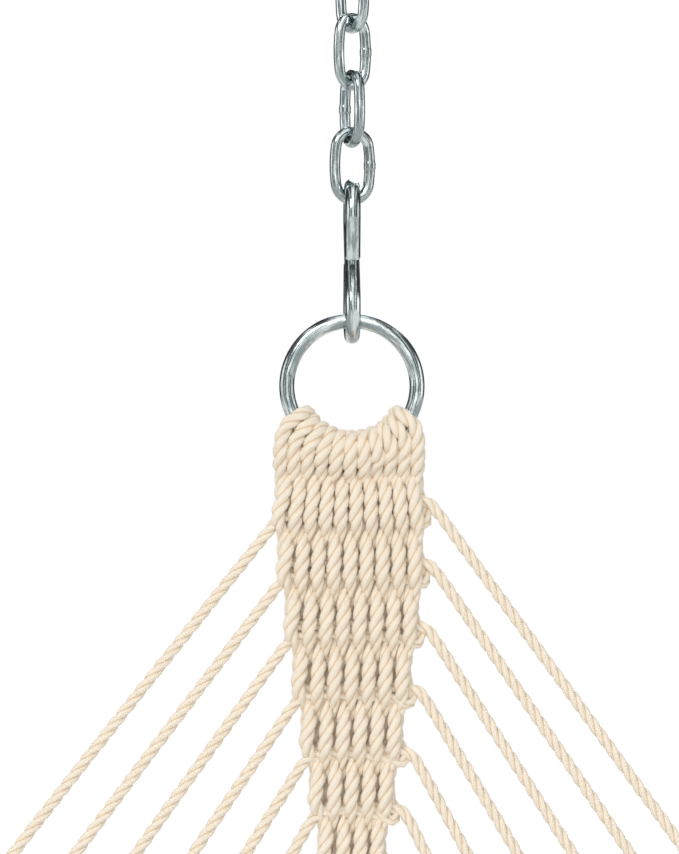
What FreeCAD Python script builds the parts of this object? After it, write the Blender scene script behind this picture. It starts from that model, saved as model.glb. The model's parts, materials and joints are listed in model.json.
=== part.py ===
# A rope hammock hung up by one end, modelled as separate pieces in millimetres.
# X runs across the hammock, Z up along it and Y through it. The origin is the inside of the
# upper ring at its top, where the S-hook that carries the hammock bears on it.
import FreeCAD, Part
import Sketcher
import math
import os

from FreeCAD import Placement, Rotation, Vector

DRIVING = {
    "rope_diameter": 6.35,
    "link_wire": 5.6,
    "link_opening_length": 30.0,
    "link_opening_width": 13.3,
    "weld_bead_radius": 3.2,
    "weld_bead_length": 7.0,
    "hook_wire": 8.0,
    "hook_length": 86.4,
    "hook_bow_radius": 15.0,
    "ring_outer_diameter": 76.2,
    "ring_wire": 7.9,
    "hang_gap": 0.1,
    "bar_length": 1219.0,
    "bar_breadth": 38.0,
    "bar_thickness": 22.0,
    "bar_corner_radius": 14.0,
    "bar_edge_radius": 3.0,
    "cord_holes": 22,
    "cord_hole_pitch": 55.7,
    "cord_hole_diameter": 9.5,
    "ring_to_bar": 838.0,
    "bar_to_bar": 1980.0,
    "clew_string_pitch": 4.3,
    "clew_layer_offset": 3.7,
    "clew_gathered_drop": 56.0,
    "clew_first_exit": 75.0,
    "clew_exit_pitch": 30.5,
    "clew_side_lead": 10.0,
    "clew_span": 148.0,
    "clew_lead_out": 7.0,
    "clew_lead_growth": 0.5,
    "knot_diameter": 15.0,
    "knot_length": 14.0,
    "eye_drop": 6.0,
    "eye_bow_radius": 7.2,
    "bight_bow_radius": 8.0,
    "clasp_gap": 1.0,
    "courses": 15,
}
# Each link's turn about Z in degrees, from the outer end of the chain to the hook.
LINK_TURNS = [0.0, -76.0, 28.0, -50.0, 42.0, -66.0, 15.0]
HOOK_TURN = 2.0
HARNESS_LOOPS = 11

doc = FreeCAD.newDocument("rope_hammock")


def make_sheet():
    """The driving dimensions, one named row each, then those worked out from them."""
    sheet = doc.addObject("Spreadsheet::Sheet", "Dimensions")
    worked_out = {
        "rope_radius": "=rope_diameter / 2",
        "link_wire_radius": "=link_wire / 2",
        "link_bow_radius": "=(link_opening_width + link_wire) / 2",
        "link_straight": "=link_opening_length - link_opening_width",
        "hook_wire_radius": "=hook_wire / 2",
        "hook_opening_length": "=hook_length - 2 * hook_wire",
        "hook_bow_height": "=hook_length / 2 - hook_wire_radius - hook_bow_radius",
        "ring_wire_radius": "=ring_wire / 2",
        "ring_radius": "=ring_outer_diameter / 2 - ring_wire_radius",
        "ring_opening_radius": "=ring_radius - ring_wire_radius",
        "cord_hole_radius": "=cord_hole_diameter / 2",
        "cord_hole_span": "=(cord_holes - 1) * cord_hole_pitch",
    }
    for row, (name, value) in enumerate({**DRIVING, **worked_out}.items(), start=1):
        sheet.set(f"A{row}", name)
        sheet.set(f"B{row}", str(value))
        sheet.setAlias(f"B{row}", name)
    doc.recompute()
    return sheet


sheet = make_sheet()


def size(name):
    """A dimension's value, read from the sheet."""
    return float(getattr(sheet, name))


def origin_plane(body, role):
    """One of a body's own origin planes, such as XZ_Plane."""
    return next(f for f in body.Origin.OriginFeatures if f.Role == role)


def new_sketch(body, name, role):
    sketch = body.newObject("Sketcher::SketchObject", name)
    sketch.AttachmentSupport = [(origin_plane(body, role), "")]
    sketch.MapMode = "FlatFace"
    return sketch


def point(x, y):
    return Vector(x, y, 0)


def line(start, end):
    return Part.LineSegment(start, end)


def bow(centre, radius, start_angle, end_angle):
    """An anticlockwise arc between two angles in degrees."""
    circle = Part.Circle(centre, Vector(0, 0, 1), radius)
    return Part.ArcOfCircle(circle, math.radians(start_angle), math.radians(end_angle))


def wire_pipe(body, path, profile):
    """Round wire along a path sketch."""
    pipe = body.newObject("PartDesign::AdditivePipe", body.Name + "_wire")
    pipe.Profile = profile
    pipe.Spine = (path, [f"Edge{n + 1}" for n in range(path.GeometryCount)])
    body.Tip = pipe
    return pipe


def tie_ends(sketch, pairs):
    """Joins the end of one sketch element to an end of another: (element, end, element, end)."""
    for pair in pairs:
        sketch.addConstraint(Sketcher.Constraint("Coincident", *pair))


# ---------------------------------------------------------------- chain, hook and ring


def make_link(name, top, turn):
    """A welded oval link of round wire. top is the height of the inside of its upper bow."""
    body = doc.addObject("PartDesign::Body", name)
    body.Label = name
    radius = size("link_bow_radius")
    half = size("link_straight") / 2
    path = new_sketch(body, name + "_path", "XZ_Plane")
    path.addGeometry(line(point(radius, -half), point(radius, half)))
    path.addGeometry(bow(point(0, half), radius, 0, 180))
    path.addGeometry(line(point(-radius, half), point(-radius, -half)))
    path.addGeometry(bow(point(0, -half), radius, 180, 360))
    tie_ends(path, [(0, 2, 1, 1), (1, 2, 2, 1), (2, 2, 3, 1), (3, 2, 0, 1)])
    straight = path.addConstraint(Sketcher.Constraint("DistanceY", 0, 1, 0, 2, 2 * half))
    path.setExpression(f"Constraints[{straight}]", "Dimensions.link_straight")
    round_bow = path.addConstraint(Sketcher.Constraint("Radius", 1, radius))
    path.setExpression(f"Constraints[{round_bow}]", "Dimensions.link_bow_radius")
    section = new_sketch(body, name + "_section", "XY_Plane")
    wire = section.addGeometry(Part.Circle(point(radius, 0), Vector(0, 0, 1), size("link_wire_radius")))
    across = section.addConstraint(Sketcher.Constraint("Radius", wire, size("link_wire_radius")))
    section.setExpression(f"Constraints[{across}]", "Dimensions.link_wire_radius")
    wire_pipe(body, path, section)
    bead = body.newObject("PartDesign::AdditiveEllipsoid", name + "_weld")
    bead.AttachmentSupport = [(origin_plane(body, "XY_Plane"), "")]
    bead.MapMode = "FlatFace"
    bead.setExpression("Radius1", "Dimensions.weld_bead_length / 2")
    bead.setExpression("Radius2", "Dimensions.weld_bead_radius")
    bead.setExpression("Radius3", "Dimensions.weld_bead_radius")
    bead.setExpression("AttachmentOffset.Base.x", "Dimensions.link_bow_radius")
    body.Tip = bead
    middle = top - size("link_opening_length") / 2
    body.Placement = Placement(Vector(0, 0, middle), Rotation(Vector(0, 0, 1), turn))
    return body


def hook_outline():
    """Half of the closed S: (free end, where the free leg meets the bow, where the bow meets the
    spine). Sketch X is towards the back and sketch Y is up, from the hook's middle."""
    radius = size("hook_bow_radius")
    centre = point(0, size("hook_bow_height"))
    tilt = math.asin(radius / centre.y)
    side = point(math.cos(tilt), -math.sin(tilt))
    spine_start = centre + side * radius
    along = point(math.sin(tilt), math.cos(tilt))
    reach = size("hook_wire") + size("hang_gap")
    free_end = side * -reach + along * (-reach / 4)
    run = free_end - centre
    turn = math.acos(radius / run.Length)
    facing = math.atan2(run.y, run.x) - turn
    leg_end = centre + point(math.cos(facing), math.sin(facing)) * radius
    return centre, free_end, leg_end, spine_start


def make_hook(name, top, turn):
    """An S-hook with both bows closed. top is the height of the inside of its upper bow."""
    body = doc.addObject("PartDesign::Body", name)
    body.Label = name
    centre, free_end, leg_end, spine_start = hook_outline()
    radius = size("hook_bow_radius")
    path = new_sketch(body, name + "_path", "YZ_Plane")
    top_arc = [
        math.degrees(math.atan2((p - centre).y, (p - centre).x)) for p in (spine_start, leg_end)
    ]
    path.addGeometry(line(free_end, leg_end))
    path.addGeometry(bow(centre, radius, top_arc[0], top_arc[1] % 360))
    path.addGeometry(line(spine_start, spine_start * -1))
    path.addGeometry(bow(centre * -1, radius, top_arc[0] + 180, top_arc[1] % 360 + 180))
    path.addGeometry(line(leg_end * -1, free_end * -1))
    tie_ends(path, [(0, 2, 1, 2), (1, 1, 2, 1), (2, 2, 3, 1), (3, 2, 4, 1)])
    upper = path.addConstraint(Sketcher.Constraint("Radius", 1, radius))
    path.setExpression(f"Constraints[{upper}]", "Dimensions.hook_bow_radius")
    lower = path.addConstraint(Sketcher.Constraint("Radius", 3, radius))
    path.setExpression(f"Constraints[{lower}]", "Dimensions.hook_bow_radius")
    section = body.newObject("Sketcher::SketchObject", name + "_section")
    wire = section.addGeometry(Part.Circle(point(0, 0), Vector(0, 0, 1), size("hook_wire_radius")))
    across = section.addConstraint(Sketcher.Constraint("Radius", wire, size("hook_wire_radius")))
    section.setExpression(f"Constraints[{across}]", "Dimensions.hook_wire_radius")
    run = leg_end - free_end
    facing = Rotation(Vector(0, 0, 1), Vector(0, run.x, run.y))
    section.Placement = Placement(Vector(0, free_end.x, free_end.y), facing)
    wire_pipe(body, path, section)
    middle = top - size("hook_opening_length") / 2
    body.Placement = Placement(Vector(0, 0, middle), Rotation(Vector(0, 0, 1), turn))
    return body


def make_ring(name, centre):
    ring = doc.addObject("Part::Torus", name)
    ring.Label = name
    ring.setExpression("Radius1", "Dimensions.ring_radius")
    ring.setExpression("Radius2", "Dimensions.ring_wire_radius")
    ring.Placement = Placement(Vector(0, 0, centre), Rotation(Vector(1, 0, 0), 90))
    return ring


# ---------------------------------------------------------------- spreader bars


def make_bar(name, middle):
    """A flat hardwood bar with rounded corners and edges and a row of holes down through it."""
    body = doc.addObject("PartDesign::Body", name)
    body.Label = name
    half_x = size("bar_length") / 2
    half_y = size("bar_breadth") / 2
    radius = size("bar_corner_radius")
    outline = new_sketch(body, name + "_outline", "XY_Plane")
    corners = [(1, -1, 270), (1, 1, 0), (-1, 1, 90), (-1, -1, 180)]
    for side_x, side_y, start in corners:
        centre = point(side_x * (half_x - radius), side_y * (half_y - radius))
        outline.addGeometry(bow(centre, radius, start, start + 90))
    for number in range(4):
        start = outline.getPoint(number, 2)
        end = outline.getPoint((number + 1) % 4, 1)
        edge = outline.addGeometry(line(start, end))
        tie_ends(outline, [(number, 2, edge, 1), (edge, 2, (number + 1) % 4, 1)])
    pad = body.newObject("PartDesign::Pad", name + "_blank")
    pad.Profile = outline
    pad.Midplane = True
    pad.setExpression("Length", "Dimensions.bar_thickness")
    doc.recompute()
    rounded = body.newObject("PartDesign::Fillet", name + "_rounded")
    flat_edges = [
        f"Edge{number}"
        for number, edge in enumerate(pad.Shape.Edges, start=1)
        if abs(edge.BoundBox.ZMax - edge.BoundBox.ZMin) < 1e-6
    ]
    rounded.Base = (pad, flat_edges)
    rounded.setExpression("Radius", "Dimensions.bar_edge_radius")
    first = new_sketch(body, name + "_first_hole", "XY_Plane")
    centre = point(-size("cord_hole_span") / 2, 0)
    hole = first.addGeometry(Part.Circle(centre, Vector(0, 0, 1), size("cord_hole_radius")))
    across = first.addConstraint(Sketcher.Constraint("Radius", hole, size("cord_hole_radius")))
    first.setExpression(f"Constraints[{across}]", "Dimensions.cord_hole_radius")
    pocket = body.newObject("PartDesign::Pocket", name + "_hole")
    pocket.Profile = first
    pocket.Midplane = True
    pocket.setExpression("Length", "2 * Dimensions.bar_thickness")
    doc.recompute()
    row = body.newObject("PartDesign::LinearPattern", name + "_holes")
    row.Originals = [pocket]
    row.Direction = (first, ["H_Axis"])
    row.setExpression("Length", "Dimensions.cord_hole_span")
    row.setExpression("Occurrences", "Dimensions.cord_holes")
    body.Tip = row
    body.Placement = Placement(Vector(0, 0, middle), Rotation())
    return body


# ---------------------------------------------------------------- rope


def rounded_route(points, radii):
    """Edges of straight runs through the points, with an arc of the given radius at each turn."""
    edges = []
    start = points[0]
    for before, corner, after, radius in zip(points, points[1:], points[2:], radii):
        back = (before - corner).normalize()
        onward = (after - corner).normalize()
        half = back.getAngle(onward) / 2
        reach = radius / math.tan(half)
        centre = corner + (back + onward).normalize() * (radius / math.sin(half))
        middle = centre + (corner - centre).normalize() * radius
        arc = Part.Arc(corner + back * reach, middle, corner + onward * reach)
        edges.append(Part.LineSegment(start, arc.StartPoint).toShape())
        edges.append(arc.toShape())
        start = arc.EndPoint
    edges.append(Part.LineSegment(start, points[-1]).toShape())
    return edges


def rope_along(edges):
    """Plain round rope along tangent edges, as one solid."""
    route = Part.Wire(edges)
    first = edges[0]
    tangent = first.tangentAt(first.FirstParameter)
    start = first.valueAt(first.FirstParameter)
    section = Part.Wire(Part.Circle(start, tangent, size("rope_radius")).toShape())
    rope = route.makePipeShell([section], True, False)
    expected = math.pi * size("rope_radius") ** 2 * route.Length
    print(f"rope {route.Length:.0f} mm long, volume over section times length {rope.Volume / expected:.5f}")
    return rope


def hole_x(number):
    return (number - (size("cord_holes") - 1) / 2) * size("cord_hole_pitch")


def string_route(number, ring_z, bar_z, down):
    """Half a harness loop, from its knot through the bar's hole and up the clew to the ring's wire.

    Strings are numbered from the left. down is 1 where the harness hangs below its ring and -1
    where the ring hangs below the harness. Even strings lie in the front layer of the clew."""
    last = int(size("cord_holes")) - 1
    front = -1 if number % 2 == 0 else 1
    rank = min(number, last - number)
    lead = size("clew_side_lead") * (1 - rank / (last / 2)) if number > last / 2 else 0
    exit_drop = size("clew_first_exit") - lead + rank * size("clew_exit_pitch")
    x = (number - last / 2) * size("clew_string_pitch")
    loop = number // 2
    angle = math.radians((loop / (HARNESS_LOOPS - 1) - 0.5) * size("clew_span"))
    outward = Vector(math.sin(angle), 0, -down * math.cos(angle))
    from_middle = loop - (HARNESS_LOOPS - 1) / 2
    lead_out = size("clew_lead_out") + size("clew_lead_growth") * from_middle**2
    wrap = size("ring_wire_radius") + size("rope_radius") + size("hang_gap")
    ring_centre = Vector(0, 0, ring_z)
    on_wire = ring_centre + outward * size("ring_radius") + Vector(0, front * wrap, 0)
    clear = ring_centre + outward * (size("ring_radius") + lead_out)
    clear = clear + Vector(0, front * wrap, 0)
    layer = front * size("clew_layer_offset")
    gathered = Vector(x, layer, ring_z - down * size("clew_gathered_drop"))
    leaving = Vector(x, layer, ring_z - down * exit_drop)
    above_hole = bar_z + down * (size("bar_thickness") / 2 + 2 * size("rope_diameter"))
    at_hole = Vector(hole_x(number), 0, above_hole)
    knotted = Vector(hole_x(number), 0, bar_z - down * size("bar_thickness") / 2)
    return [knotted, at_hole, leaving, gathered, clear, on_wire], outward


def make_harness_loop(name, loop, ring_z, bar_z, down):
    """One rope from a hole in the bar over the ring's wire and back to the next hole."""
    rope = doc.addObject("Part::Feature", name)
    rope.Label = name
    legs = [string_route(2 * loop + side, ring_z, bar_z, down) for side in (0, 1)]
    thick = size("rope_diameter")
    bends = [3 * thick, 3 * thick, thick, thick]
    sides = [rounded_route(points, bends) for points, outward in legs]
    on_front = legs[0][0][-1]
    on_back = legs[1][0][-1]
    outward = legs[0][1]
    radius = (on_back - on_front).Length / 2
    crest = (on_front + on_back) * 0.5 - outward * radius
    over = Part.Arc(on_front, crest, on_back).toShape()
    rope.Shape = rope_along(Part.sortEdges(sides[0] + [over] + sides[1])[0])
    rope.Placement = Placement()
    return rope


def make_knots(name, bar_z, down):
    """The stopper knots against the bar's inner face, each with the eye that holds the bed."""
    knots = doc.addObject("Part::Feature", name)
    knots.Label = name
    radius = size("knot_diameter") / 2
    length = size("knot_length")
    barrel = Part.makeCylinder(radius, length, Vector(0, 0, -length))
    barrel = barrel.makeFillet(radius / 2, [e for e in barrel.Edges if e.Closed])
    bow_radius = size("eye_bow_radius")
    low = -length - size("eye_drop")
    inside = -length / 2
    ends = [Vector(0, side * bow_radius, inside) for side in (-1, 1)]
    turns = [Vector(0, side * bow_radius, low) for side in (-1, 1)]
    lowest = Vector(0, 0, low - bow_radius)
    eye = rope_along(
        [
            Part.LineSegment(ends[0], turns[0]).toShape(),
            Part.Arc(turns[0], lowest, turns[1]).toShape(),
            Part.LineSegment(turns[1], ends[1]).toShape(),
        ]
    )
    knot = barrel.fuse(eye)
    face = bar_z - down * size("bar_thickness") / 2
    upright = Rotation() if down > 0 else Rotation(Vector(1, 0, 0), 180)
    copies = []
    for number in range(int(size("cord_holes"))):
        copy = knot.copy()
        copy.Placement = Placement(Vector(hole_x(number), 0, face), upright)
        copies.append(copy)
    knots.Shape = Part.makeCompound(copies)
    knots.Placement = Placement()
    return knots


def tangent_points(pin, other, radius):
    """Where a rope leaves one round pin and meets the next. A pin is (x, z, turn), and turn is 1
    where the rope goes anticlockwise round it and -1 where it goes clockwise."""
    x, z, turn = pin
    other_x, other_z, other_turn = other
    run = math.hypot(other_x - x, other_z - z)
    heading = math.atan2(other_z - z, other_x - x)
    if turn == other_turn:
        facing = heading - turn * math.pi / 2
        side = 1
    else:
        facing = heading - turn * math.acos(2 * radius / run)
        side = -1
    out_x = radius * math.cos(facing)
    out_z = radius * math.sin(facing)
    return Vector(x + out_x, 0, z + out_z), Vector(other_x + side * out_x, 0, other_z + side * out_z)


def course_pins(top, row_drop):
    """The pins that one closed course of bed rope bends round: along its upper row from left to
    right, and back along its lower row."""
    radius = size("bight_bow_radius")
    last = int(size("cord_holes")) - 1
    upper_bottom = top - row_drop + size("rope_diameter") + size("clasp_gap")
    lower_top = top - row_drop
    lower_bottom = lower_top - row_drop + size("rope_diameter") + size("clasp_gap")
    half = size("cord_hole_pitch") / 2
    pins = []
    for number in range(last + 1):
        pins.append((hole_x(number), top - radius, -1))
        if number < last:
            pins.append((hole_x(number) + half, upper_bottom + radius, 1))
    for number in range(last, -1, -1):
        pins.append((hole_x(number), lower_bottom + radius, -1))
        if number > 0:
            pins.append((hole_x(number) - half, lower_top - radius, 1))
    return pins


def make_course(name, top, row_drop):
    """One closed course of the bed's net: two zigzag rows joined down both edges."""
    course = doc.addObject("Part::Feature", name)
    course.Label = name
    radius = size("bight_bow_radius")
    pins = course_pins(top, row_drop)
    touches = [tangent_points(a, b, radius) for a, b in zip(pins, pins[1:] + pins[:1])]
    edges = []
    for number, (leave, meet) in enumerate(touches):
        next_pin = pins[(number + 1) % len(pins)]
        next_leave = touches[(number + 1) % len(pins)][0]
        centre = Vector(next_pin[0], 0, next_pin[1])
        bulge = (meet - centre) + (next_leave - centre)
        middle = centre + bulge.normalize() * radius
        edges.append(Part.LineSegment(leave, meet).toShape())
        edges.append(Part.Arc(meet, middle, next_leave).toShape())
    course.Shape = rope_along(edges)
    course.Placement = Placement()
    return course


# ---------------------------------------------------------------- the whole hammock


def main():
    link_pitch = size("link_opening_length") - size("hang_gap")
    links = len(LINK_TURNS)
    hook_top = size("hook_opening_length") - size("hang_gap")
    upper_ring = -size("ring_opening_radius")
    upper_bar = upper_ring - size("ring_to_bar")
    lower_bar = upper_bar - size("bar_to_bar")
    lower_ring = lower_bar - size("ring_to_bar")
    overall = upper_ring + lower_ring
    pieces = []
    for number, turn in enumerate(LINK_TURNS):
        top = hook_top + (links - number) * link_pitch
        pieces.append(make_link(f"upper_link_{number + 1}", top, turn))
    pieces.append(make_hook("upper_s_hook", hook_top, HOOK_TURN))
    pieces.append(make_ring("upper_ring", upper_ring))
    for loop in range(HARNESS_LOOPS):
        name = f"upper_harness_loop_{loop + 1:02d}"
        pieces.append(make_harness_loop(name, loop, upper_ring, upper_bar, 1))
    pieces.append(make_bar("upper_spreader_bar", upper_bar))
    pieces.append(make_knots("upper_knots", upper_bar, 1))

    courses = int(size("courses"))
    eye_depth = size("bar_thickness") / 2 + size("knot_length") + size("eye_drop")
    bed_top = upper_bar - eye_depth
    bed_bottom = lower_bar + eye_depth
    clasp = size("rope_diameter") + size("clasp_gap")
    row_drop = (bed_top - bed_bottom + clasp) / (2 * courses)
    for number in range(courses):
        top = bed_top - 2 * number * row_drop
        pieces.append(make_course(f"bed_course_{number + 1:02d}", top, row_drop))

    pieces.append(make_knots("lower_knots", lower_bar, -1))
    pieces.append(make_bar("lower_spreader_bar", lower_bar))
    for loop in range(HARNESS_LOOPS):
        name = f"lower_harness_loop_{loop + 1:02d}"
        pieces.append(make_harness_loop(name, loop, lower_ring, lower_bar, -1))
    pieces.append(make_ring("lower_ring", lower_ring))
    pieces.append(make_hook("lower_s_hook", overall - hook_top + size("hook_opening_length"), HOOK_TURN))
    for number, turn in enumerate(reversed(LINK_TURNS)):
        top = overall - hook_top + size("hang_gap") - number * link_pitch
        pieces.append(make_link(f"lower_link_{number + 1}", top, turn))

    doc.recompute()
    for thing in doc.Objects:
        if "Invalid" in thing.State or "Error" in thing.State:
            raise RuntimeError(f"{thing.Name} failed: {thing.State}")
    os.makedirs("parts", exist_ok=True)
    for piece in pieces:
        if piece.Shape.isNull() or not piece.Shape.isValid():
            raise RuntimeError(f"{piece.Label} has no valid shape")
        piece.Shape.exportStep(f"parts/{piece.Label}.step")
    print(f"wrote {len(pieces)} pieces, row drop {row_drop:.2f} mm, lower ring at {lower_ring:.1f} mm")


main()
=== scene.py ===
# The rope hammock in Blender: laid cotton rope, zinc-plated chain and hardwood spreader bars,
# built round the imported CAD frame. Lengths are in metres; X is across, Y through and Z up.
import bpy
import json
import math
import numpy as np
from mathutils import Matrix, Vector


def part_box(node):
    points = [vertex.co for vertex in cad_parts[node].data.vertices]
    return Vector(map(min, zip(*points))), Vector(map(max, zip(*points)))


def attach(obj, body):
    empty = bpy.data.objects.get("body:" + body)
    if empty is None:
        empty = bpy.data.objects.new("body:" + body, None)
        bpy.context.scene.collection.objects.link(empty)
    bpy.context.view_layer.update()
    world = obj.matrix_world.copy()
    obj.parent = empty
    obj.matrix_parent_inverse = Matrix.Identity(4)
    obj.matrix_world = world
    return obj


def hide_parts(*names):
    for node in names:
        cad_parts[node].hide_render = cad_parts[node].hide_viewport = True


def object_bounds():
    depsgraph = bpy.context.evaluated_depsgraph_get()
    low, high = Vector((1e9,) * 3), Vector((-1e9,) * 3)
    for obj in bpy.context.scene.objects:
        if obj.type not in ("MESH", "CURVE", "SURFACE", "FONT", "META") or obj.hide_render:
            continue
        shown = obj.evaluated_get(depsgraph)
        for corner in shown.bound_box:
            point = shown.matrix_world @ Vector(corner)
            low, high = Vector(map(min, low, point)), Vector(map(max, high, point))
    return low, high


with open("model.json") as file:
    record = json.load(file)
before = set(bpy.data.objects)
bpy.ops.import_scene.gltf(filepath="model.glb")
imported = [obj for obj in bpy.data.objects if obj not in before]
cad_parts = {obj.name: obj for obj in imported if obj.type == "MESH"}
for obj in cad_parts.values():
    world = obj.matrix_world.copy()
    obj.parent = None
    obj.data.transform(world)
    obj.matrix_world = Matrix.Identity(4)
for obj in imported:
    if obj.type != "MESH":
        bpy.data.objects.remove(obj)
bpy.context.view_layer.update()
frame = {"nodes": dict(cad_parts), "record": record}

MM = 0.001
ROPE = 6.35 * MM
ROPE_LAY = 23.5 * MM
STRANDS = 3.0
LINK_WIRE = 5.6 * MM
LINK_OPENING = 13.3 * MM
WELD_RADIUS = 3.2 * MM
HOOK_WIRE = 8.0 * MM
HOOK_BOW = 15.0 * MM
STRINGS = 22
HOLE_PITCH = 55.7 * MM
# Degrees about the vertical, link by link down the upper chain. The weld's side counts too.
LINK_TURNS = [0.0, -76.0, 28.0, -50.0, 42.0, 114.0, 15.0]
HOOK_TURN = 2.0
# The way from an end's ring to its bar, down (1) or up (-1).
ENDS = {"upper": 1, "lower": -1}
BODY_OF = {
    node: body
    for body, nodes in frame["record"]["behaviour"]["bodies"].items()
    for node in nodes
}


def middle(node):
    low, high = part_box(node)
    return (low + high) / 2


def extent(node):
    low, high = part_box(node)
    return high - low


def from_middle(number):
    """How many strings along from the hammock's middle line a string or a hole is."""
    return number - (STRINGS - 1) / 2


def hole_x(number):
    return from_middle(number) * HOLE_PITCH


# ---------------------------------------------------------------- camera, lights and floor


def make_camera():
    """Level with the ring, far enough back for a nearly flat view of the chain and the clew."""
    view_height = 447.3 * MM
    distance = 2.2
    left_of_ring = 6.5 * MM
    below_ring = 21.5 * MM
    sensor = 24.0
    camera = bpy.data.objects.new("camera", bpy.data.cameras.new("camera"))
    camera.data.sensor_fit = "VERTICAL"
    camera.data.sensor_height = sensor
    camera.data.lens = sensor * distance / view_height
    camera.location = middle("upper_ring") + Vector((-left_of_ring, -distance, -below_ring))
    camera.rotation_euler = (math.pi / 2, 0, 0)
    bpy.context.scene.collection.objects.link(camera)
    bpy.context.scene.camera = camera


def make_sun(name, towards, softness, strength, in_reflections=True):
    """A soft distant light, so that both ends of the hammock are lit alike."""
    light = bpy.data.lights.new(name, "SUN")
    light.angle = math.radians(softness)
    light.energy = strength
    holder = bpy.data.objects.new(name, light)
    holder.rotation_euler = Vector(towards).to_track_quat("-Z", "Y").to_euler()
    holder.visible_glossy = in_reflections
    bpy.context.scene.collection.objects.link(holder)


def make_world():
    """White to the camera, and a studio with dark gaps between its soft boxes to everything else.
    Glossy rays find it brighter in front and dark behind, which draws a dark rim round the wire."""
    world = bpy.data.worlds.new("studio")
    bpy.context.scene.world = world
    world.use_nodes = True
    tree = Tree(world.node_tree)
    where = tree.node("ShaderNodeTexCoord").outputs["Generated"]
    axes = tree.node("ShaderNodeSeparateXYZ", {"Vector": where}).outputs
    across = tree.math("ABSOLUTE", axes["X"])
    middle_box = [(0.0, 0.75), (0.18, 1.0), (0.34, 0.1), (0.5, 0.06)]
    side_boxes = [(0.6, 0.9), (0.7, 0.1), (0.86, 0.1), (0.96, 1.0)]
    sides = tree.ramp(across, middle_box + side_boxes)
    height = tree.ramp(axes["Z"], [(-0.9, 0.35), (-0.2, 0.75), (0.25, 1.0), (0.9, 1.05)], low=-1.0)
    through = tree.ramp(axes["Y"], [(-1.0, 1.4), (-0.1, 1.35), (0.5, 0.25), (1.0, 0.12)], low=-1.0)
    light_path = tree.node("ShaderNodeLightPath").outputs
    reflected = tree.mix(light_path["Is Glossy Ray"], (1, 1, 1, 1), through)
    shade = tree.math("MULTIPLY", tree.math("MULTIPLY", sides, height), reflected)
    studio = tree.node("ShaderNodeBackground", {"Color": tree.grey(shade), "Strength": 1.25})
    plain = tree.node("ShaderNodeBackground", {"Color": (1, 1, 1, 1), "Strength": 1.0})
    seen = light_path["Is Camera Ray"]
    mixed = tree.node("ShaderNodeMixShader", {0: seen, 1: studio.outputs[0], 2: plain.outputs[0]})
    tree.link(mixed.outputs[0], tree.node("ShaderNodeOutputWorld").inputs["Surface"])


def make_floor():
    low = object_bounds()[0]
    half = 30.0
    mesh = bpy.data.meshes.new("floor")
    corners = [(-half, -half), (half, -half), (half, half), (-half, half)]
    mesh.from_pydata([(x, y, low.z - 60 * MM) for x, y in corners], [], [(0, 1, 2, 3)])
    floor = bpy.data.objects.new("floor", mesh)
    bpy.context.scene.collection.objects.link(floor)
    mesh.materials.append(plain_pale())


def make_lights():
    make_sun("key", (1.3, 2.0, -1.6), 24, 0.95)
    make_sun("front", (-0.1, 2.8, 0.2), 50, 0.7, False)
    make_sun("fill", (-1.7, 1.9, -0.1), 40, 0.2, False)
    make_sun("back", (-0.3, -1.9, -1.2), 35, 0.7)


def make_studio():
    make_camera()
    make_world()
    make_floor()
    make_lights()
    bpy.context.scene.view_settings.view_transform = "Standard"


# ---------------------------------------------------------------- node trees


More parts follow.
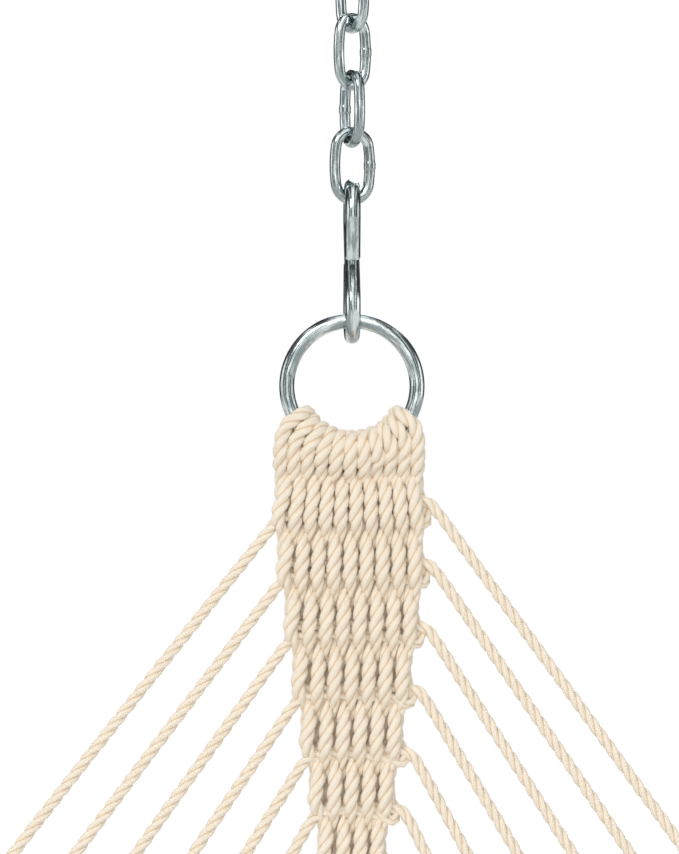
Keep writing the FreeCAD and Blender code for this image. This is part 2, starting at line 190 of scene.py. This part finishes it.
class Tree:
    """Short names for the node calls that the materials repeat."""

    def __init__(self, tree):
        self.tree = tree
        tree.nodes.clear()

    def link(self, source, target):
        self.tree.links.new(source, target)

    def node(self, kind, inputs=None, **settings):
        made = self.tree.nodes.new(kind)
        for name, value in settings.items():
            setattr(made, name, value)
        for name, value in (inputs or {}).items():
            if isinstance(value, bpy.types.NodeSocket):
                self.link(value, made.inputs[name])
            else:
                made.inputs[name].default_value = value
        return made

    def math(self, operation, *values):
        return self.node("ShaderNodeMath", dict(enumerate(values)), operation=operation).outputs[0]

    def ramp(self, value, stops, low=0.0):
        """A smooth curve through (value, result) stops. low is where the values start."""
        span = 1.0 - low
        placed = self.math("DIVIDE", self.math("SUBTRACT", value, low), span)
        made = self.node("ShaderNodeValToRGB", {"Fac": placed})
        made.color_ramp.interpolation = "EASE"
        elements = made.color_ramp.elements
        while len(elements) < len(stops):
            elements.new(0.5)
        for element, (at, level) in zip(elements, stops):
            element.position = (at - low) / span
            element.color = (level, level, level, 1)
        return made.outputs["Color"]

    def grey(self, value):
        return self.node("ShaderNodeCombineColor", {"Red": value, "Green": value, "Blue": value}).outputs[0]

    def stretched(self, where, scale):
        return self.node("ShaderNodeMapping", {"Vector": where, "Scale": scale}).outputs[0]

    def noise(self, where, scale, detail=3.0, rough=0.5):
        inputs = {"Vector": where, "Scale": scale, "Detail": detail, "Roughness": rough}
        return self.node("ShaderNodeTexNoise", inputs).outputs["Fac"]

    def rope_map(self):
        """The turns round a rope or a wire, and the metres along it."""
        place = self.node("ShaderNodeUVMap", uv_map="rope").outputs[0]
        axes = self.node("ShaderNodeSeparateXYZ", {"Vector": place}).outputs
        return axes["X"], axes["Y"]

    def on_wire(self, around, along):
        """A place on a wire, without a seam where the turns start again."""
        turns, metres = self.rope_map()
        angle = self.math("MULTIPLY", turns, 2 * math.pi)
        x = self.math("MULTIPLY", self.math("COSINE", angle), around)
        y = self.math("MULTIPLY", self.math("SINE", angle), around)
        z = self.math("MULTIPLY", metres, along)
        return self.node("ShaderNodeCombineXYZ", {"X": x, "Y": y, "Z": z}).outputs[0]

    def mix(self, share, first, second):
        made = self.node("ShaderNodeMix", data_type="RGBA")
        for socket, value in ((0, share), (6, first), (7, second)):
            if isinstance(value, bpy.types.NodeSocket):
                self.link(value, made.inputs[socket])
            else:
                made.inputs[socket].default_value = value
        return made.outputs[2]

    def bump(self, height, distance, strength, under=None):
        inputs = {"Height": height, "Distance": distance, "Strength": strength}
        if under is not None:
            inputs["Normal"] = under
        return self.node("ShaderNodeBump", inputs).outputs[0]


def new_material(name):
    material = bpy.data.materials.new(name + "_finish")
    material["slot"] = name
    material.use_nodes = True
    return material, Tree(material.node_tree)


def finish_material(tree, inputs):
    shader = tree.node("ShaderNodeBsdfPrincipled", inputs)
    tree.link(shader.outputs[0], tree.node("ShaderNodeOutputMaterial").inputs["Surface"])


def plain_pale():
    material, tree = new_material("pale_floor")
    finish_material(tree, {"Base Color": (0.86, 0.86, 0.85, 1), "Roughness": 0.9})
    return material


def zinc_steel():
    """Bright zinc plate: gloss with a faint green-grey cast, dark streaks along the wire that are partly
    dull plate and partly painted dark reflection, and tiny pits."""
    material, tree = new_material("zinc_steel")
    where = tree.node("ShaderNodeTexCoord").outputs["Object"]
    clouds = tree.noise(where, 190.0, 4.0, 0.6)
    fine = tree.noise(where, 1400.0, 2.0)
    # Partly painted reflection: dark streaks along the wire stand in for the dark bands a shiny wire
    # reflects, besides dull patches in the plate.
    drawn = tree.noise(tree.on_wire(1.5, 70.0), 1.0, 4.0, 0.6)
    stain_and_painted_reflection = tree.ramp(drawn, [(0.0, 0.0), (0.38, 0.15), (0.54, 0.8), (1.0, 1.0)])
    colour = tree.mix(stain_and_painted_reflection, (0.88, 0.94, 0.95, 1), (0.22, 0.28, 0.29, 1))
    gloss = tree.ramp(clouds, [(0.0, 0.08), (0.45, 0.13), (0.62, 0.2), (1.0, 0.32)])
    rippled = tree.bump(clouds, 0.3 * MM, 0.4)
    pitted = tree.bump(fine, 0.06 * MM, 0.35, rippled)
    finish_material(tree, {"Base Color": colour, "Metallic": 1.0, "Roughness": gloss, "Normal": pitted})
    return material


def cotton_rope():
    """Three-strand cotton rope, its strands drawn by the rope map, the yarns in them, and painted shade in
    the grooves between the strands.
    """
    material, tree = new_material("cotton_rope")
    where = tree.node("ShaderNodeTexCoord").outputs["Object"]
    round_rope, along_rope = tree.rope_map()
    strands = tree.math("MULTIPLY", round_rope, STRANDS)
    over_strand = tree.math("FRACT", strands)
    from_crest = tree.math("ABSOLUTE", tree.math("MULTIPLY_ADD", over_strand, 2.0, -1.0))
    yarns = 4.0
    drift = tree.math("MULTIPLY", along_rope, 0.4 * STRANDS * yarns / ROPE_LAY)
    wander = tree.math("MULTIPLY", tree.noise(where, 260.0, 2.0), 1.1)
    turns = tree.math("ADD", tree.math("MULTIPLY_ADD", strands, yarns, drift), wander)
    wave = tree.math("SINE", tree.math("MULTIPLY", turns, 2 * math.pi))
    yarn = tree.math("MULTIPLY_ADD", wave, 0.5, 0.5)
    fuzz = tree.noise(where, 2600.0, 3.0, 0.7)
    patches = tree.noise(where, 34.0, 3.0)
    body = tree.mix(patches, (0.93, 0.82, 0.665, 1), (0.98, 0.89, 0.76, 1))
    lined = tree.mix(tree.math("MULTIPLY_ADD", yarn, 0.45, 0.55), (0.86, 0.75, 0.59, 1), body)
    # Painted shade: the colour turns brown towards the grooves between the strands, where shade falls.
    groove_painted_shade = tree.ramp(from_crest, [(0.0, 0.0), (0.7, 0.03), (0.88, 0.3), (1.0, 0.8)])
    colour = tree.mix(groove_painted_shade, lined, (0.64, 0.42, 0.21, 1))
    relief = tree.math("MULTIPLY_ADD", fuzz, 0.35, yarn)
    normal = tree.bump(relief, 0.25 * MM, 0.4)
    inputs = {
        "Base Color": colour,
        "Roughness": 0.86,
        "Specular IOR Level": 0.25,
        "Sheen Weight": 0.25,
        "Sheen Roughness": 0.5,
        "Normal": normal,
    }
    finish_material(tree, inputs)
    return material


def hardwood():
    """Varnished hardwood with its grain along the bar."""
    material, tree = new_material("hardwood")
    where = tree.node("ShaderNodeTexCoord").outputs["Object"]
    figure = tree.noise(tree.stretched(where, (1.6, 26.0, 26.0)), 3.2, 5.0, 0.55)
    rings = tree.math("FRACT", tree.math("MULTIPLY", figure, 7.0))
    pores = tree.noise(tree.stretched(where, (30.0, 700.0, 700.0)), 1.4, 2.0)
    pore = tree.ramp(pores, [(0.0, 0.0), (0.56, 0.0), (0.66, 1.0)])
    broad = tree.mix(rings, (0.50, 0.27, 0.11, 1), (0.66, 0.40, 0.19, 1))
    colour = tree.mix(tree.math("MULTIPLY", pore, 0.55), broad, (0.26, 0.12, 0.045, 1))
    normal = tree.bump(tree.math("MULTIPLY_ADD", pore, -0.6, rings), 0.12 * MM, 0.3)
    inputs = {
        "Base Color": colour,
        "Roughness": 0.38,
        "Coat Weight": 0.45,
        "Coat Roughness": 0.14,
        "Normal": normal,
    }
    finish_material(tree, inputs)
    return material


# ---------------------------------------------------------------- tubes


def lengths_along(line):
    """How far along a line each of its points is."""
    return np.concatenate([[0], np.cumsum(np.linalg.norm(np.diff(line, axis=0), axis=1))])


def evenly(line, step, closed=False):
    """Points about a step apart along a line of points."""
    if closed:
        line = np.vstack([line, line[:1]])
    along = lengths_along(line)
    count = max(4, int(round(along[-1] / step)) + 1)
    at = np.linspace(0, along[-1], count)
    if closed:
        at = at[:-1]
    return np.stack([np.interp(at, along, line[:, axis]) for axis in range(3)], axis=1)


def smooth_line(route, closed=False):
    """The line of the NURBS spline with these control points."""
    curve = bpy.data.curves.new("route", "CURVE")
    curve.dimensions = "3D"
    spline = curve.splines.new("NURBS")
    spline.points.add(len(route) - 1)
    for place, point in zip(spline.points, route):
        place.co = (*point, 1)
    spline.order_u = 3
    spline.use_endpoint_u = not closed
    spline.use_cyclic_u = closed
    spline.resolution_u = 10
    holder = bpy.data.objects.new("route", curve)
    mesh = bpy.data.meshes.new_from_object(holder)
    line = np.array([v.co for v in mesh.vertices])
    bpy.data.objects.remove(holder)
    bpy.data.curves.remove(curve)
    bpy.data.meshes.remove(mesh)
    return line


def unit(vectors):
    return vectors / np.linalg.norm(vectors, axis=-1, keepdims=True)


def travelling_frames(line, closed):
    """A normal and a binormal at each point, carried along the line without twisting."""
    if closed:
        tangents = unit(np.roll(line, -1, axis=0) - np.roll(line, 1, axis=0))
    else:
        tangents = unit(np.gradient(line, axis=0))
    steps = [Vector(t) for t in tangents]
    normal = steps[0].orthogonal().normalized()
    normals = [normal]
    for before, after in zip(steps, steps[1:]):
        normal = before.rotation_difference(after) @ normal
        normal = (normal - after * normal.dot(after)).normalized()
        normals.append(normal)
    normals = np.array([list(n) for n in normals])
    return normals, np.cross(tangents, normals), tangents


def end_mismatch(normals, binormals, tangents):
    """The angle between a closed line's first normal and the one carried all the way round."""
    last = Vector(tangents[-1]).rotation_difference(Vector(tangents[0])) @ Vector(normals[-1])
    return math.atan2(last.dot(Vector(binormals[0])), last.dot(Vector(normals[0])))


class TubeMesh:
    """Gathers tubes into one mesh, with a map of turns round (U) and metres along (V)."""

    def __init__(self):
        self.points = []
        self.faces = []
        self.places = []
        self.count = 0

    def add(self, line, angles, radii, twist, closed=False):
        """A tube along a line. angles and radii are arrays of (points along, points round), and
        twist is how fast the tube turns as it goes, which is rounded to close a closed one."""
        normals, binormals, tangents = travelling_frames(line, closed)
        along = lengths_along(line)
        whole = along[-1]
        if closed:
            whole = along[-1] + np.linalg.norm(line[0] - line[-1])
            slack = end_mismatch(normals, binormals, tangents)
            pull = 2 * math.pi * round((twist * whole + slack) / (2 * math.pi)) - slack
            twist = pull / whole
        turned = angles + (twist * along)[:, None]
        cos = (np.cos(turned) * radii)[:, :, None]
        sin = (np.sin(turned) * radii)[:, :, None]
        rings = line[:, None, :] + cos * normals[:, None, :] + sin * binormals[:, None, :]
        self.points.append(rings.reshape(-1, 3))
        self.add_faces(radii.shape, closed, np.append(along, whole))

    def add_faces(self, shape, closed, lengths):
        """Quads from each round of points to the next, with their places on the rope map."""
        rows, around = shape
        row = np.arange(rows if closed else rows - 1)[:, None]
        next_row = (row + 1) % rows
        column = np.arange(around)[None, :]
        beside = (column + 1) % around
        corners = [(row, column), (row, beside), (next_row, beside), (next_row, column)]
        quads = [(first * around + second).reshape(-1) for first, second in corners]
        self.faces.append(np.stack(quads, axis=1) + self.count)
        turns = column / around
        turns, ahead, start, end = np.broadcast_arrays(
            turns, turns + 1 / around, lengths[row], lengths[row + 1]
        )
        corners = [(turns, start), (ahead, start), (ahead, end), (turns, end)]
        places = [np.stack(corner, axis=-1) for corner in corners]
        self.places.append(np.stack(places, axis=2).reshape(-1, 2))
        self.count += rows * around

    def build(self, name, material, node):
        points = np.vstack(self.points)
        faces = np.vstack(self.faces)
        mesh = bpy.data.meshes.new(name)
        mesh.vertices.add(len(points))
        mesh.vertices.foreach_set("co", points.astype(np.float32).reshape(-1))
        mesh.loops.add(faces.size)
        mesh.loops.foreach_set("vertex_index", faces.astype(np.int32).reshape(-1))
        mesh.polygons.add(len(faces))
        mesh.polygons.foreach_set("loop_start", np.arange(0, faces.size, 4, dtype=np.int32))
        mesh.polygons.foreach_set("use_smooth", np.ones(len(faces), dtype=bool))
        layer = mesh.uv_layers.new(name="rope")
        layer.data.foreach_set("uv", np.vstack(self.places).astype(np.float32).reshape(-1))
        mesh.materials.append(material)
        mesh.update(calc_edges=True)
        mesh.validate()
        piece = bpy.data.objects.new(name, mesh)
        bpy.context.scene.collection.objects.link(piece)
        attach(piece, BODY_OF[node])
        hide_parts(node)


def strand_outline(columns):
    """How far out a three-strand rope reaches at each column, as a share of its radius. strand is
    a strand's radius and apart is how far its middle is from the rope's, in the same way."""
    strand = 0.59
    apart = 1 - strand
    share = 2 * math.pi / STRANDS
    angles = np.arange(columns) * 2 * math.pi / columns
    off_crest = (angles % share) - share / 2
    reach = apart * np.cos(off_crest) + np.sqrt(strand**2 - (apart * np.sin(off_crest)) ** 2)
    return angles, reach


def add_rope(tubes, line, columns, plumpness=None, closed=False):
    """Laid rope along a line. plumpness scales its radius at each point, and an open rope's ends
    are drawn in almost to a point."""
    angles, reach = strand_outline(columns)
    rows = len(line)
    fullness = np.ones(rows) if plumpness is None else plumpness.copy()
    if not closed:
        fullness[[0, -1]] = 0.02
    radii = fullness[:, None] * reach[None, :] * ROPE / 2
    turned = np.broadcast_to(angles, (rows, columns))
    tubes.add(line, turned, radii, 2 * math.pi / ROPE_LAY, closed)


# ---------------------------------------------------------------- steel


def arc_line(centre, radius, start, end, step=6.0):
    """Points round an arc in a plane, between two angles in degrees."""
    count = max(2, int(abs(end - start) / step))
    turn = np.radians(np.linspace(start, end, count + 1))
    return np.stack([centre[0] + radius * np.cos(turn), centre[1] + radius * np.sin(turn)], axis=1)


def placed(flat, plane, turn, centre):
    """Points of a plane, XZ or YZ, turned about Z and moved to a centre."""
    line = np.zeros((len(flat), 3))
    line[:, 0 if plane == "XZ" else 1] = flat[:, 0]
    line[:, 2] = flat[:, 1]
    cos, sin = math.cos(math.radians(turn)), math.sin(math.radians(turn))
    spin = np.array([[cos, sin, 0], [-sin, cos, 0], [0, 0, 1]])
    return line @ spin + np.array(centre)


def wire_piece(node, line, wire, closed, swell):
    """Round wire along a line. swell scales its radius at each point."""
    around = 32
    angles = np.broadcast_to(np.arange(around) * 2 * math.pi / around, (len(line), around))
    tubes = TubeMesh()
    tubes.add(line, angles, np.repeat(swell[:, None] * wire / 2, around, axis=1), 0.0, closed)
    tubes.build(node + "_steel", MATERIAL["zinc_steel"], node)


def make_link(node, turn):
    """An oval link of four arcs, whose weld stands out as a notched bead half way down one side."""
    tall = (extent(node).z - LINK_WIRE) / 2
    wide = (LINK_OPENING + LINK_WIRE) / 2
    bow = 8.8 * MM
    side = (wide**2 + (tall - bow) ** 2 - bow**2) / (2 * (wide - bow))
    lean = math.degrees(math.atan2(tall - bow, side - wide))
    outline = np.vstack(
        [
            arc_line((0, tall - bow), bow, lean, 180 - lean),
            arc_line((side - wide, 0), side, 180 - lean, 180 + lean, 2.0)[1:],
            arc_line((0, bow - tall), bow, 180 + lean, 360 - lean)[1:],
            arc_line((wide - side, 0), side, -lean, lean, 2.0)[1:-1],
        ]
    )
    flat = evenly(np.hstack([outline, np.zeros((len(outline), 1))]), 0.8 * MM, True)[:, :2]
    away = np.linalg.norm(flat - np.array([wide, 0]), axis=1)
    bead = 2 * WELD_RADIUS / LINK_WIRE - 1
    raised = np.exp(-((away / (1.9 * MM)) ** 4))
    notch = np.exp(-((away / (0.5 * MM)) ** 2))
    swell = 1 + bead * raised - 0.5 * bead * notch
    wire_piece(node, placed(flat, "XZ", turn, middle(node)), LINK_WIRE, True, swell)


def hook_half():
    """Half of the closed S from its free end to its spine, about the hook's middle."""
    length = extent("upper_s_hook").z
    centre = np.array([0, length / 2 - HOOK_WIRE / 2 - HOOK_BOW])
    tilt = math.asin(HOOK_BOW / centre[1])
    side = np.array([math.cos(tilt), -math.sin(tilt)])
    along = np.array([math.sin(tilt), math.cos(tilt)])
    beside_spine = HOOK_WIRE + 0.1 * MM
    past_middle = 6.7 * MM
    free_end = -beside_spine * side - past_middle * along
    run = free_end - centre
    facing = math.degrees(math.atan2(run[1], run[0]) - math.acos(HOOK_BOW / np.linalg.norm(run)))
    spine = math.degrees(math.atan2(-math.sin(tilt), math.cos(tilt)))
    return np.vstack([[free_end], arc_line(centre, HOOK_BOW, facing % 360, spine, 4.0)])


def make_hook(node):
    """A closed S of wire with its two ends rounded off."""
    step = 0.9 * MM
    rounding = 1.6 * MM
    half = hook_half()
    flat = np.vstack([half, -half[::-1]])
    line = evenly(np.hstack([flat, np.zeros((len(flat), 1))]), step)[:, :2]
    rows = len(line)
    from_end = np.minimum(np.arange(rows), np.arange(rows)[::-1]) * step
    dome = np.clip(from_end / rounding, 0, 1)
    swell = np.sqrt(1 - (1 - dome) ** 2 * 0.999)
    wire_piece(node, placed(line, "YZ", HOOK_TURN, middle(node)), HOOK_WIRE, False, swell)


def make_ring(node):
    size = extent(node)
    flat = arc_line((0, 0), (size.z - size.y) / 2, 0, 360, 2.5)[:-1]
    wire_piece(node, placed(flat, "XZ", 0, middle(node)), size.y, True, np.ones(len(flat)))


def make_steel():
    for end in ENDS:
        turns = LINK_TURNS if end == "upper" else LINK_TURNS[::-1]
        for number, turn in enumerate(turns):
            make_link(f"{end}_link_{number + 1}", turn)
        make_hook(f"{end}_s_hook")
        make_ring(f"{end}_ring")


# ---------------------------------------------------------------- harness


FIRST_SWAP = 48.2 * MM  # from the ring's centre down to where the layers first change places
ROW_PITCH = 29.85 * MM
LAYER = 4.1 * MM  # from the clew's middle plane to the middle of its front and back layers
RING_SPAN = 118.0  # degrees of the ring that the loops cover
TUCK = 3.4 * MM  # how far inwards the last string on the right is pulled


def swap_drop(row):
    """How far below the ring's centre the clew's layers change places above a row."""
    return FIRST_SWAP + ROW_PITCH * (row - 1)


def string_x(number, drop):
    """A string's place across the clew, whose strings spread a little below the ring."""
    spread = 4.47 * MM - 1.3 * MM * math.exp(-max(drop - 35 * MM, 0) / (35 * MM))
    return from_middle(number) * spread


def first_side(number):
    """Strings leave the ring in front (-1) and behind (1) in turn."""
    return -1 if number % 2 == 0 else 1


def clew_lean(drop):
    """How far to the right the clew hangs as it goes down."""
    return 2.0 * MM * min(max((drop - 55 * MM) / (60 * MM), 0), 1)


def ring_wrap(number, ring_radius, reach):
    """Control points from the crest over the ring's wire down to the first swap. Each is so far
    out from the wire and through, and pulled some of the way to the string's place below."""
    loop = number // 2
    angle = math.radians((loop / (STRINGS / 2 - 1) - 0.5) * RING_SPAN)
    side = first_side(number)
    below = string_x(number, swap_drop(1)) - (TUCK if number == STRINGS - 1 else 0.0)
    crest = (-reach, 0.0, 0.0)
    shoulder = (-reach, side * reach, 0.1)
    hip = (reach * 0.9, side * reach, 0.5)
    points = []
    for out, through, pull in (crest, shoulder, hip):
        radial = ring_radius + out
        across = radial * math.sin(angle)
        points.append((across + (below - across) * pull, through, radial * math.cos(angle)))
    low = swap_drop(1) - 0.3 * ROW_PITCH
    if low > points[-1][2] + 2 * MM:
        points.append((below, side * LAYER, low))
    return points


def woven_rows(number, rank):
    """Control points down the rows that a string is woven through, front and back in turn. The
    last string on the right is tucked between the layers, and the last on the left leans out."""
    side = first_side(number)
    lean = 0.7 * MM
    outwards = 1.8 * MM
    points = []
    for row in range(1, rank + 1):
        side = -side
        top = swap_drop(row)
        points.append((string_x(number, top), 0.0, top))
        tuck = TUCK if number + row == STRINGS - 1 else 0.0
        through = side * LAYER * (1.15 if tuck == 0 else 0.35)
        flare = outwards if number == row else 0.0
        for share, shift in ((0.3, lean), (0.7, -lean)):
            drop = top + share * ROW_PITCH
            x = string_x(number, drop) - side * shift - tuck - flare * (share - 0.3) / 0.4
            points.append((x, through, drop))
    return points


def left_turn(rank, row_top, across):
    """Where the clew's edge is and how a string from the left turns in there."""
    edge = abs(string_x(rank + 1, across)) + 1.5 * MM
    points = [
        (-edge + 0.5 * MM, 1.0 * MM, row_top - 1.0 * MM),
        (-edge - 0.2 * MM, 2.0 * MM, (row_top + across) / 2),
        (-edge, 0.0, across + 2.0 * MM),
    ]
    return edge, points


def right_turn(rank, row_top, across):
    """Where the clew's edge is and how a string from the right swings out and turns in there."""
    edge = abs(string_x(rank + 2, across)) + 2.5 * MM
    points = [
        (edge - 1.5 * MM, 2.5 * MM, row_top + 2.0 * MM),
        (edge - 0.5 * MM, 2.5 * MM, across - 6.0 * MM),
        (edge + 3.0 * MM, 1.0 * MM, across - 0.5 * MM),
        (edge + 2.0 * MM, -1.5 * MM, across + 6.5 * MM),
    ]
    return edge, points


def leaving_turn(number, rank):
    """Control points where a string turns in at the clew's edge, crosses between the two layers,
    and comes out on the other side. The clew is not the same on both sides: strings from the
    right go further round and come out lower."""
    row_top = swap_drop(rank + 1)
    inner = min(rank, 4)
    if number < STRINGS / 2:
        sign, fall, turn = -1, (16 + 3 * inner) * MM, left_turn
    else:
        sign, fall, turn = 1, (24.5 + 1.5 * inner) * MM, right_turn
    exit_drop = row_top + fall
    across = exit_drop - 5.5 * MM
    edge, points = turn(rank, row_top, across)
    points += [
        (sign * (edge - 8.0 * MM), 0.0, across + 1.0 * MM),
        (-sign * (edge - 9.0 * MM), 0.0, across),
        (-sign * (edge + 2.0 * MM), -1.0 * MM, (across + exit_drop) / 2 - 1.0 * MM),
        (-sign * (edge + 5.5 * MM), -0.5 * MM, exit_drop),
    ]
    return points


def fan_run(start, number, ring_z, bar_z, bar_thick):
    """Control points from the clew down to a hole in the bar and through it. The strings are slack
    enough to bow out a little, more on the left."""
    hole = hole_x(number)
    left_bow = 17.0 * MM
    right_bow = 3.0 * MM
    bow = -left_bow if hole < 0 else right_bow
    over_bar = abs(ring_z - bar_z) - bar_thick / 2
    top = over_bar - 12 * MM
    points = []
    for share in (0.03, 0.15, 0.4, 0.7, 0.9):
        x = start[0] + (hole - start[0]) * share + bow * math.sin(math.pi * share)
        points.append((x, start[1] * (1 - share), start[2] + (top - start[2]) * share))
    points += [(hole, 0.0, top), (hole, 0.0, over_bar + 0.4 * bar_thick)]
    points += [(hole, 0.0, over_bar + bar_thick + 4 * MM)]
    return points


def string_line(number, end, step):
    """The whole line of one string from the ring's wire to its knot."""
    ring = middle(f"{end}_ring")
    bar = middle(f"{end}_spreader_bar")
    bar_thick = extent(f"{end}_spreader_bar").z
    size = extent(f"{end}_ring")
    last = STRINGS - 1
    rank = min(number, last - number)
    reach = (size.y + ROPE) / 2 + 0.1 * MM
    points = ring_wrap(number, (size.z - size.y) / 2, reach)
    points += woven_rows(number, rank)
    points += leaving_turn(number, rank)
    points = [(x + clew_lean(drop), y, drop) for x, y, drop in points]
    points += fan_run(points[-1], last - number, ring.z, bar.z, bar_thick)
    line = evenly(smooth_line(points), step)
    woven_to = swap_drop(rank + 1)
    plump = clew_plumpness(line[:, 2], woven_to)
    line[:, 2] = ring.z - ENDS[end] * line[:, 2]
    return line, plump


def clew_plumpness(drops, woven_to):
    """A string is fuller in the middle of each woven row and just below the ring's wire, and
    pinched where the layers change places. Below the weave it has its plain thickness."""
    phase = (drops - FIRST_SWAP) / ROW_PITCH
    near = np.clip(np.cos(2 * math.pi * phase), 0, 1) ** 2
    fade = np.clip((woven_to + 3 * MM - drops) / (8 * MM), 0, 1)
    onset = np.clip((drops - FIRST_SWAP) / (12 * MM), 0, 1)
    pinch = np.where(phase > 0.5, 0.42, 0.25) * (drops > FIRST_SWAP - 0.3 * ROW_PITCH)
    band = np.exp(-(((drops - 36 * MM) / (9 * MM)) ** 2))
    full = 0.28 + 0.02 * onset + 0.14 * band - pinch * near
    return 1 + full * fade


def make_harness(end, columns, step):
    for loop in range(STRINGS // 2):
        first, first_plump = string_line(2 * loop, end, step)
        second, second_plump = string_line(2 * loop + 1, end, step)
        line = np.vstack([first[::-1], second[1:]])
        plump = np.concatenate([first_plump[::-1], second_plump[1:]])
        node = f"{end}_harness_loop_{loop + 1:02d}"
        tubes = TubeMesh()
        add_rope(tubes, line, columns, plump)
        tubes.build(node + "_rope", MATERIAL["cotton_rope"], node)


# ---------------------------------------------------------------- knots and bed


def knot_line(hole, face, down):
    """A stopper knot of two turns below the bar, then the eye that holds the bed."""
    coil = 4.4 * MM
    length = 14 * MM
    points = [(hole, 0.0, 2 * MM), (hole, 0.0, -2 * MM)]
    per_turn = 8
    last = 2 * per_turn
    for number in range(last + 1):
        angle = 2 * math.pi * number / per_turn
        sink = -3.0 * MM - (length - 5 * MM) * number / last
        points.append((hole + coil * math.sin(angle), coil * math.cos(angle), sink))
    bow = 7.2 * MM
    low = -length - 6 * MM
    eye = [(bow, -length + 1 * MM), (bow, low), (bow, low - bow), (0.0, low - bow)]
    points += [(hole, y, z) for y, z in eye]
    points += [(hole, -y, z) for y, z in eye[::-1]]
    points.append((hole, 0.0, -length / 2))
    return np.array([(x, y, face + down * z) for x, y, z in points])


def make_knots(end):
    down = ENDS[end]
    bar = middle(f"{end}_spreader_bar")
    face = bar.z - down * extent(f"{end}_spreader_bar").z / 2
    node = f"{end}_knots"
    tubes = TubeMesh()
    for number in range(STRINGS):
        line = evenly(smooth_line(knot_line(hole_x(number), face, down)), 2.4 * MM)
        add_rope(tubes, line, 12)
    tubes.build(node + "_rope", MATERIAL["cotton_rope"], node)


def course_route(top, row_drop):
    """Control points round one closed course: its upper row from left to right, then its lower
    row back. Rising strands pass behind falling ones, so each bight hooks through the next."""
    hook = 5.4 * MM
    narrow = 7.9 * MM
    depth = 9.0 * MM
    layer = 3.3 * MM
    points = []
    for row, heading in ((0, 1), (1, -1)):
        high = top - row * row_drop + (0 if row == 0 else hook)
        low = top - (row + 1) * row_drop + ROPE + 1 * MM - hook
        order = range(STRINGS) if heading == 1 else range(STRINGS - 1, -1, -1)
        crowns, feet = (high, low) if row == 0 else (low, high)
        points += row_points(order, heading, row, crowns, feet, (narrow, depth, layer))
    return np.array(points)


def row_points(order, heading, row, at_hole, between, bight):
    """One row's bights: those under the holes, and those half a pitch further on."""
    narrow, depth, layer = bight
    into = 1 if row == 0 else -1
    points = []
    for number in order:
        x = hole_x(number)
        points += bight_points(x, at_hole, -into * depth, heading * narrow, into * heading * layer)
        if number != order[-1]:
            x += heading * HOLE_PITCH / 2
            points += bight_points(x, between, into * depth, heading * narrow, -into * heading * layer)
    return points


def bight_points(x, crown, leg, narrow, layer):
    """Four control points of a bight: its arriving leg, two across its crown, its leaving leg."""
    return [
        (x - narrow, layer, crown + leg),
        (x - narrow * 0.8, layer * 0.5, crown),
        (x + narrow * 0.8, -layer * 0.5, crown),
        (x + narrow, -layer, crown + leg),
    ]


def make_bed():
    courses = sum(1 for node in frame["nodes"] if node.startswith("bed_course_"))
    first_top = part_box("bed_course_01")[1].z - ROPE / 2
    last_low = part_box(f"bed_course_{courses:02d}")[0].z + ROPE / 2
    row_drop = (first_top - last_low + ROPE + 1 * MM) / (2 * courses)
    for number in range(courses):
        node = f"bed_course_{number + 1:02d}"
        top = first_top - 2 * number * row_drop
        line = evenly(smooth_line(course_route(top, row_drop), True), 3.9 * MM, True)
        tubes = TubeMesh()
        add_rope(tubes, line, 9, None, True)
        tubes.build(node + "_rope", MATERIAL["cotton_rope"], node)


def finish_bars():
    """The bars keep their CAD shape and get the hardwood's material."""
    for end in ENDS:
        bar = frame["nodes"][f"{end}_spreader_bar"]
        bar.data.materials.clear()
        bar.data.materials.append(MATERIAL["hardwood"])


# ---------------------------------------------------------------- the whole scene


make_studio()
MATERIAL = {"zinc_steel": zinc_steel(), "cotton_rope": cotton_rope(), "hardwood": hardwood()}
make_steel()
make_harness("upper", 18, 2.0 * MM)
make_harness("lower", 12, 3.0 * MM)
for end in ENDS:
    make_knots(end)
make_bed()
finish_bars()
